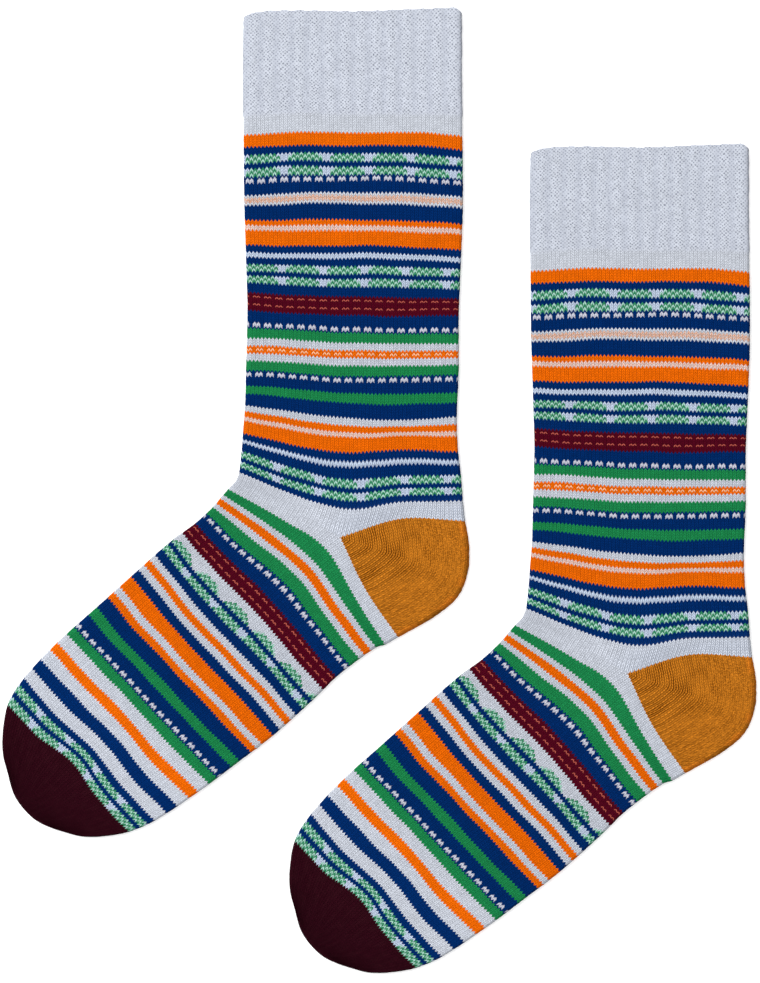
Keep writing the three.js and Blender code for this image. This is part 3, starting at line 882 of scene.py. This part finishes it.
class Knit:
    """A knitted surface: its whole wales and rows, the place in a stitch, and its colour so far."""

    def __init__(self, name, yarns, wobble=WOBBLE, wander=0):
        self.material, self.graph = new_graph(name)
        self.yarns = yarns
        self.colour = None
        stitches = self.graph.node("ShaderNodeUVMap", {"uv_map": "stitches"}).outputs[0]
        counts = self.graph.node("ShaderNodeSeparateXYZ", inputs={0: stitches}).outputs
        self.wale = Number(self.graph, counts[0])
        self.course = Number(self.graph, counts[1])
        if wander:
            self.wale = self.wale + wander * (self.noise(0.35, 3.0) - 0.5)
        self.column = self.wale.floor()
        self.beside = abs(self.wale.fraction() * 2 - 1)  # 0 in the middle of a wale, 1 at its sides
        slope = CHEVRON / 2 - CHEVRON * self.beside
        self.unwavering_row = (self.course + slope).floor()
        if wobble:
            self.course = self.course + wobble * (self.noise(0.07, 1.0) - 0.5)
        self.sloped = self.course + slope
        self.row = self.sloped.floor()

    def yarn(self, name):
        return (*getattr(self.yarns, name), 1)

    def paint(self, share, colour):
        """Lays a colour, or a yarn by its name, over a share of the surface."""
        over = self.yarn(colour) if isinstance(colour, str) else colour
        self.colour = self.graph.mix(share, self.colour, over)

    def in_rows(self, first, end):
        """1 from the first row up to the one before the end."""
        return self.row.inside(first - 0.5, end - 0.5)

    def from_motif(self, motif):
        """How far each column is from the nearest place of a motif's repeat, in wales."""
        half = motif.repeat // 2
        return abs((self.column - motif.wale + half) % motif.repeat - half)

    def pairs(self, motif):
        """1 on two stitches of a motif's three."""
        return (self.column - motif.wale) % motif.repeat > 0.5

    def in_stitch(self):
        """Random number of each stitch."""
        place = self.graph.node("ShaderNodeCombineXYZ", inputs={0: self.column, 1: self.row}).outputs[0]
        noise = self.graph.node("ShaderNodeTexWhiteNoise", {"noise_dimensions": "2D"}, {"Vector": place})
        return Number(self.graph, noise.outputs[0])

    def noise(self, scale, detail=2.0, stretch=1.0):
        """Smooth noise over the counts. The stretch is along the wales."""
        return self.graph.noise((self.wale * scale, self.course * (scale / stretch)), detail)

    def off_legs(self):
        """0 on a stitch's two legs, 1 between them and at the wale's sides."""
        return abs(self.beside * 2 - 1)

    def leg_height(self):
        """Height of a stitch's two slanting legs, 0 in the grooves to 1 on the yarn."""
        along = (self.sloped.fraction() * math.pi).sine()
        beside = (self.beside * math.pi).sine()
        return along**0.6 * (0.35 + 0.65 * beside**0.7) * (1 - self.beside**6)


def add_stripes(knit, stripes, start):
    """The ground colour of each row, from a table of stripes, through colour ramps with even steps."""
    parts = [[]]
    at = start
    for yarn, rows in stripes:
        part = parts[-1]
        if len(part) >= RAMP_STOPS or (part and at - part[0][0] >= RAMP_ROWS):
            part = []
            parts.append(part)
        part.append((at, MOTIF_GROUNDS.get(yarn, yarn)))
        at += rows
    for part in parts:
        first = part[0][0]
        stops = [((row - first) / RAMP_REACH, knit.yarn(yarn)) for row, yarn in part]
        ramp = knit.graph.ramp((knit.row - first + 0.5) / RAMP_REACH, stops)
        if knit.colour is None:
            knit.colour = ramp
        else:
            knit.paint(knit.row > first - 0.5, ramp)


def within(motifs, rows):
    """The motifs that begin in some rows."""
    return [motif for motif in motifs if rows[0] <= motif.course < rows[1]]


def add_dots(knit, rows):
    """Pairs of pale stitches with one of the ground between."""
    for motif in within(DOTS, rows):
        tall = knit.sloped.inside(*(motif.course + row for row in DOT_ROWS))
        knit.paint(tall * knit.pairs(motif), "dot")


def add_dashes(knit, rows):
    """Thin dashes two stitches wide. Those on the dark red only dip a little."""
    for motifs, yarn, dip, thickness in ((DASHES, "dash", 0.5, 0.5), (PALE_DASHES, "pale_dash", 0.9, 0.6)):
        for motif in within(motifs, rows):
            height = knit.course - motif.course + dip / 2 - dip * knit.beside
            thin = height.inside(0.5 - thickness / 2, 0.5 + thickness / 2)
            knit.paint(thin * knit.pairs(motif), yarn)


def mottled(knit):
    """Green and mint stitches by turns."""
    return knit.graph.mix((knit.column + knit.row) % 2 > 0.5, knit.yarn("leaf"), knit.yarn("mint"))


def add_mottle(knit, rows):
    """Mottled bands, parted by short gaps of white."""
    checks = mottled(knit)
    for motif in within(MOTTLES, rows):
        far = knit.from_motif(motif)
        for row, half in enumerate(MOTTLE_GAPS, motif.course):
            knit.paint(knit.in_rows(row, row + 1), knit.graph.mix(far < half, checks, knit.yarn("ice")))


def add_hills(knit):
    """Mottled hills on the white band of the foot."""
    checks = mottled(knit)
    far = knit.from_motif(HILLS)
    for down, half in HILL_HALVES.items():
        row = HILLS.course + down
        knit.paint(knit.in_rows(row, row + 1) * (far < half), checks)


def add_twist(knit):
    """Speckles the stripes of twisted yarn with white and orange by turns."""
    speckle = knit.noise(1.7).smooth(0.42, 0.6)
    for start, end in TWISTED_ROWS:
        rows = knit.in_rows(start, end)
        knit.paint(rows * speckle * TWIST_WHITE, "white")
        knit.paint(rows * (1 - speckle) * TWIST_ORANGE, "orange")


def add_stretch(knit):
    """Paints shade into the opened grooves of the pale rows that are stretched over the heel pocket."""
    # Painted shade in the grooves beside the stitches' legs, in the lower rows over the heel pocket
    low_down = STRETCHED_SHADE * knit.course.smooth(*STRETCHED_ROWS)
    knit.paint(low_down * knit.wale.hump(*STRETCHED_WALES) * knit.off_legs() ** 2, "ankle_groove_shade")


def add_heel_teeth(knit, over):
    """Where the ochre of the heel pocket reaches into the rows of its neighbour."""
    reaches = knit.unwavering_row > GORE - 0.5 if over else knit.unwavering_row < GORE - 0.5
    knit.paint(knit.wale.inside(*HEEL_WALES) * reaches, "heel")


def finished(knit, cloth, height=None, depth=1.0, shade=STITCH_SHADE, light=1.0):
    """Paints shade into the grooves between stitches and along the back fold, paints in extra light where
    asked, varies the yarn, and raises the stitches as a bump.
    """
    graph = knit.graph
    height = height or knit.leg_height()
    stitches = STITCH_TONE[0] + STITCH_TONE[1] * knit.in_stitch()
    patches = PATCH_TONE[0] + PATCH_TONE[1] * knit.noise(0.09, 3.0)
    # Painted shade in the grooves and where the back fold turns down, and painted light from the light
    # factor, all multiplied into the yarn's colour
    grooves = 1 - shade * (1 - height)
    tone = stitches * patches * grooves * (1 - BACK_FOLD_SHADE * knit.wale.hump(*BACK_FOLD)) * light
    grey = graph.node("ShaderNodeCombineColor", inputs={0: tone, 1: tone, 2: tone})
    bumps = {
        "Strength": 1.0,
        "Distance": cloth.stitch_relief * depth,
        "Height": height + FIBRE_HEIGHT * knit.noise(2.6, 4.0),
    }
    matt = {
        "Base Color": graph.mix(1.0, knit.colour, grey.outputs[0], "MULTIPLY"),
        "Roughness": 0.92,
        "Specular IOR Level": 0.01,
        "Normal": graph.node("ShaderNodeBump", inputs=bumps).outputs[0],
    }
    surface = graph.node("ShaderNodeBsdfPrincipled", inputs=matt)
    graph.node("ShaderNodeOutputMaterial", {"is_active_output": True}, {0: surface.outputs[0]})
    return knit.material


def leg_material(cloth, yarns):
    knit = Knit("striped leg knit", yarns)
    add_stripes(knit, LEG_STRIPES, LEG_STRIPES_START)
    add_dots(knit, LEG_ROWS)
    add_dashes(knit, LEG_ROWS)
    add_mottle(knit, LEG_ROWS)
    add_twist(knit)
    knit.paint(knit.sloped.inside(*LOW_LINE), "ice")
    add_stretch(knit)
    add_heel_teeth(knit, over=True)
    return finished(knit, cloth, light=1 + ANKLE_LIGHT * knit.course.smooth(*ANKLE_LIGHT_COMES))


def foot_material(cloth, yarns):
    knit = Knit("striped foot knit", yarns)
    add_stripes(knit, FOOT_STRIPES, FOOT_STRIPES_START)
    add_dots(knit, FOOT_ROWS)
    add_dashes(knit, FOOT_ROWS)
    add_mottle(knit, FOOT_ROWS)
    add_hills(knit)
    add_heel_teeth(knit, over=False)
    ankle = ANKLE_LIGHT * (1 - knit.course.smooth(*ANKLE_LIGHT_GOES))
    foot = FOOT_LIGHT * knit.course.smooth(*FOOT_LIGHT_COMES)
    return finished(knit, cloth, light=1 + (ankle + foot))


def toe_material(cloth, yarns):
    knit = Knit("dark toe knit", yarns)
    add_stripes(knit, FOOT_STRIPES, FOOT_STRIPES_START)
    add_mottle(knit, FOOT_ROWS)
    toe = knit.row > FOOT_END - 0.5
    worn = toe * knit.off_legs() * knit.noise(0.6, 3.0, stretch=3.0).smooth(0.4, 0.7)
    knit.paint(WORN_SHADE * worn, "toe_worn")
    return finished(knit, cloth, depth=1.2, shade=0.5)


def cuff_material(cloth, yarns):
    """The ribbed knit: painted shade in small pits that stand in a lattice, fainter in the furrows between
    ribs, which get painted shade of their own; the whole ribbed part gets a little of the same shade.
    """
    knit = Knit("ribbed cuff knit", yarns)
    add_stripes(knit, LEG_STRIPES, LEG_STRIPES_START)
    plain = knit.course.smooth(RIBBED_UNTIL, RIBS_GONE)
    drift = 0.7 * (knit.noise(0.8, 3.0) - 0.5)
    slip = 0.8 * (knit.noise(0.9, 3.0) - 0.5)
    columns = ((knit.wale + drift) * TURN).cosine()
    rows = ((knit.course + slip) * (TURN / TALL_ROW)).cosine()
    furrow = (0.5 + 0.5 * ((knit.wale - FIRST_FURROW) * (TURN / RIB_WALES)).cosine()) ** 2
    spots = knit.noise(1.4).smooth(0.35, 0.65)
    pit = (columns * rows).smooth(-0.1, 0.9) * (0.35 + 0.65 * spots) * (1 - 0.4 * furrow)
    # Painted shade: a little over the whole ribbed part, more in the pits and in the furrows between the
    # ribs
    knit.paint((1 - plain) * (0.16 + 0.62 * pit + 0.15 * furrow), "cuff_pit_shade")
    height = plain * knit.leg_height() + (1 - plain) * (0.52 - 0.5 * pit)
    return finished(knit, cloth, height=height, shade=STITCH_SHADE - 0.12 * plain)


def heel_material(cloth, yarns):
    """Ochre knit, with painted shade in dark lines on both sides of each wale, strongest towards the gore
    point, and a little darker over its even part near the fold.
    """
    knit = Knit("ochre heel knit", yarns, wobble=0, wander=0.5)
    knit.colour = knit.yarn("heel")
    share = 1 - abs(knit.wale / (WALES_ROUND / 4) - 2)
    near_fold = share.smooth(*HEEL_CALM)
    calm = 0.5 * near_fold
    streaks = knit.noise(0.5, 3.0, stretch=4.0).smooth(0.3, 0.7)
    rough = knit.noise(1.7).smooth(0.36, 0.64)
    pits = knit.off_legs() ** 1.4 * (1 - calm) + rough * calm
    # Painted shade in the grooves on both sides of each wale, and a flat darkening over the even part near
    # the fold
    knit.paint(pits * (0.48 + 0.45 * (1 - near_fold)) * (0.45 + 0.8 * streaks) + 0.18 * calm, "heel_groove_shade")
    knit.paint(0.8 * (share.smooth(*HEEL_RIM) * knit.noise(0.12).smooth(0.35, 0.6)), "heel_rim")
    height = knit.leg_height() * (1 - calm) + calm * (0.85 - 0.75 * rough)
    return finished(knit, cloth, height=height, depth=1.1, shade=0.4)


def placed(name, data):
    """A new object in the scene."""
    made = bpy.data.objects.new(name, data)
    bpy.context.scene.collection.objects.link(made)
    return made


def relief_tree():
    """Geometry Nodes that raise the ribs, sink the grooves between wales and make the cloth uneven."""
    tree = bpy.data.node_groups.new("knit relief", "GeometryNodeTree")
    for name, kind in RELIEF_INPUTS.items():
        tree.interface.new_socket(name, in_out="INPUT", socket_type=f"NodeSocket{kind}")
    tree.interface.new_socket("Geometry", in_out="OUTPUT", socket_type="NodeSocketGeometry")
    graph = Graph(tree)
    given = graph.node("NodeGroupInput").outputs
    rib_height, groove_depth, unevenness, seed = (
        Number(graph, given[name]) for name in ("Rib height", "Groove depth", "Unevenness", "Seed")
    )

    def stored(name, kind="FLOAT"):
        made = graph.node("GeometryNodeInputNamedAttribute", {"data_type": kind}, {"Name": name})
        return Number(graph, made.outputs[0])

    wale, course, raised, ribbed, facing_down = (
        stored(name) for name in ("wales", "courses", "relief", "ribbed", "facing_down")
    )

    def noise(steps, detail):
        place = (wale * steps[0], course * steps[1], seed * steps[2])
        return graph.noise(place, detail) - 0.5

    rib = 0.5 - 0.5 * ((wale - FIRST_FURROW) * TURN / RIB_WALES).cosine()
    groove = 0.5 + 0.5 * (wale * TURN).cosine()
    on_fold = 1 - abs(2 * facing_down - 1)
    uneven = noise(WAVES, 2.0) * (1 - facing_down) + FOLD_BUMPS_MORE * (noise(FOLD_BUMPS, 1.0) * on_fold)
    height = (
        rib_height * ribbed * (rib * (1 - facing_down))
        - groove_depth * raised * groove * (1 - RIBBED_GROOVES_LESS * ribbed)
        + unevenness * raised * 2 * uneven
    )
    outward = stored("outward", "FLOAT_VECTOR")
    offset = graph.node("ShaderNodeVectorMath", {"operation": "SCALE"}, {0: outward, "Scale": height})
    moving = {"Geometry": given["Geometry"], "Offset": offset.outputs[0]}
    shaped = graph.node("GeometryNodeSetPosition", inputs=moving)
    real = graph.node("GeometryNodeRealizeInstances", inputs={"Geometry": shaped.outputs[0]})
    dressing = {"Geometry": real.outputs[0], "Material": given["Material"]}
    dressed = graph.node("GeometryNodeSetMaterial", inputs=dressing)
    graph.node("NodeGroupOutput", inputs={0: dressed.outputs[0]})
    return tree


def knitted(name, mesh, cloth, material):
    """The piece of a mesh after the knit's relief."""
    tree = bpy.data.node_groups.get("knit relief") or relief_tree()
    piece = placed(name, mesh)
    modifier = piece.modifiers.new("knit relief", "NODES")
    modifier.node_group = tree
    values = {
        "Rib height": cloth.rib_height,
        "Groove depth": cloth.wale_groove,
        "Unevenness": cloth.unevenness,
        "Seed": cloth.seed,
        "Material": material,
    }
    for item in tree.interface.items_tree:
        if item.in_out == "INPUT" and item.name in values:
            modifier[item.identifier] = values[item.name]
    graph = bpy.context.evaluated_depsgraph_get()
    shaped = bpy.data.meshes.new_from_object(piece.evaluated_get(graph), depsgraph=graph)
    piece.modifiers.remove(modifier)
    piece.data = shaped
    bpy.data.meshes.remove(mesh)
    return piece


def add_pieces(context, length, make_material, make_mesh):
    """One length of the sock, for both socks. Its flat size is what it was knitted to, in millimetres."""
    cloth = context.scene.sock_cloth
    material = make_material(cloth, context.scene.sock_yarns)
    for sock, place in SOCK_PLACES.items():
        node = f"{sock}_{length}"
        piece = knitted(f"{node}_knit", make_mesh(node, cloth, place), cloth, material)
        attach(piece, "root")
        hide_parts(node)


class SOCKS_OT_cuffs(bpy.types.Operator):
    """Makes the two ribbed cuffs."""

    bl_idname = "socks.cuffs"
    bl_label = "Cuffs"

    def execute(self, context):
        add_pieces(context, "cuff", cuff_material, cuff_mesh)
        return {"FINISHED"}


class SOCKS_OT_legs(bpy.types.Operator):
    """Makes the two striped legs, down to the row over the heel."""

    bl_idname = "socks.legs"
    bl_label = "Legs"

    def execute(self, context):
        add_pieces(context, "leg", leg_material, leg_mesh)
        return {"FINISHED"}


class SOCKS_OT_heels(bpy.types.Operator):
    """Makes the two ochre heel pockets."""

    bl_idname = "socks.heels"
    bl_label = "Heels"

    def execute(self, context):
        add_pieces(context, "heel", heel_material, heel_mesh)
        return {"FINISHED"}


class SOCKS_OT_feet(bpy.types.Operator):
    """Makes the two striped feet, from the row under the heel to the toe."""

    bl_idname = "socks.feet"
    bl_label = "Feet"

    def execute(self, context):
        add_pieces(context, "foot", foot_material, foot_mesh)
        return {"FINISHED"}


class SOCKS_OT_toes(bpy.types.Operator):
    """Makes the two dark toe caps."""

    bl_idname = "socks.toes"
    bl_label = "Toes"

    def execute(self, context):
        add_pieces(context, "toe", toe_material, toe_mesh)
        return {"FINISHED"}


class SOCKS_OT_stage(bpy.types.Operator):
    """Makes the floor, the lights and the camera."""

    bl_idname = "socks.stage"
    bl_label = "Floor, lights and camera"

    def execute(self, context):
        stage = context.scene.sock_stage
        add_floor(stage)
        add_light(stage)
        add_sky(context.scene, stage)
        add_camera(context.scene, stage)
        context.scene.view_settings.view_transform = "Standard"
        return {"FINISHED"}


def add_floor(stage):
    mesh = bpy.data.meshes.new("floor")
    corners = [(x * FLOOR_HALF, y * FLOOR_HALF, 0) for x, y in ((-1, -1), (1, -1), (1, 1), (-1, 1))]
    mesh.from_pydata(corners, [], [(0, 1, 2, 3)])
    floor = placed("floor", mesh)
    material, graph = new_graph("pale floor")
    surface = graph.node(
        "ShaderNodeBsdfPrincipled",
        inputs={
            "Base Color": (*stage.floor, 1),
            "Roughness": 0.9,
            "Specular IOR Level": 0.1,
            "Emission Color": (1, 1, 1, 1),
            "Emission Strength": stage.floor_glow,
        },
    )
    graph.node("ShaderNodeOutputMaterial", inputs={0: surface.outputs[0]})
    mesh.materials.append(material)


def add_light(stage):
    """A broad soft light from the upper left."""
    data = bpy.data.lights.new("key", "AREA")
    data.energy = stage.key_power
    data.size = KEY_SIZE
    light = placed("key", data)
    light.location = KEY_PLACE
    light.rotation_euler = (-Vector(KEY_PLACE)).to_track_quat("-Z", "Y").to_euler()


def add_sky(scene, stage):
    world = bpy.data.worlds.new("studio")
    world.use_nodes = True
    world.node_tree.nodes.clear()
    graph = Graph(world.node_tree)
    light = graph.node("ShaderNodeBackground", inputs={0: (1, 1, 1, 1), 1: stage.fill})
    graph.node("ShaderNodeOutputWorld", inputs={0: light.outputs[0]})
    scene.world = world


def add_camera(scene, stage):
    """Looks straight down. The picture's long side is its height, so the sensor's width spans it."""
    data = bpy.data.cameras.new("camera")
    data.lens = stage.lens
    distance = stage.framed_height * data.lens / data.sensor_width
    camera = placed("camera", data)
    camera.location = (PHOTO_CENTRE[0] * MM, PHOTO_CENTRE[1] * MM, FRAMED_AT + distance)
    scene.camera = camera


class SOCKS_PT_panel(bpy.types.Panel):
    """Lists the steps that make the socks."""

    bl_label = "Socks"
    bl_idname = "SOCKS_PT_panel"
    bl_space_type = "VIEW_3D"
    bl_region_type = "UI"
    bl_category = "Socks"

    def draw(self, context):
        for group in (context.scene.sock_cloth, context.scene.sock_yarns, context.scene.sock_stage):
            for name in group.bl_rna.properties.keys():
                if name not in ("rna_type", "name"):
                    self.layout.prop(group, name)
        for step in STEPS:
            self.layout.operator(f"socks.{step}")


CLASSES = (
    SockCloth,
    SockYarns,
    SockStage,
    SOCKS_OT_cuffs,
    SOCKS_OT_legs,
    SOCKS_OT_heels,
    SOCKS_OT_feet,
    SOCKS_OT_toes,
    SOCKS_OT_stage,
    SOCKS_PT_panel,
)


def register():
    for one in CLASSES:
        bpy.utils.register_class(one)
    bpy.types.Scene.sock_cloth = bpy.props.PointerProperty(type=SockCloth)
    bpy.types.Scene.sock_yarns = bpy.props.PointerProperty(type=SockYarns)
    bpy.types.Scene.sock_stage = bpy.props.PointerProperty(type=SockStage)


def unregister():
    del bpy.types.Scene.sock_cloth
    del bpy.types.Scene.sock_yarns
    del bpy.types.Scene.sock_stage
    for one in reversed(CLASSES):
        bpy.utils.unregister_class(one)


def main():
    register()
    for step in STEPS:
        getattr(bpy.ops.socks, step)()


if __name__ == "__main__":
    main()
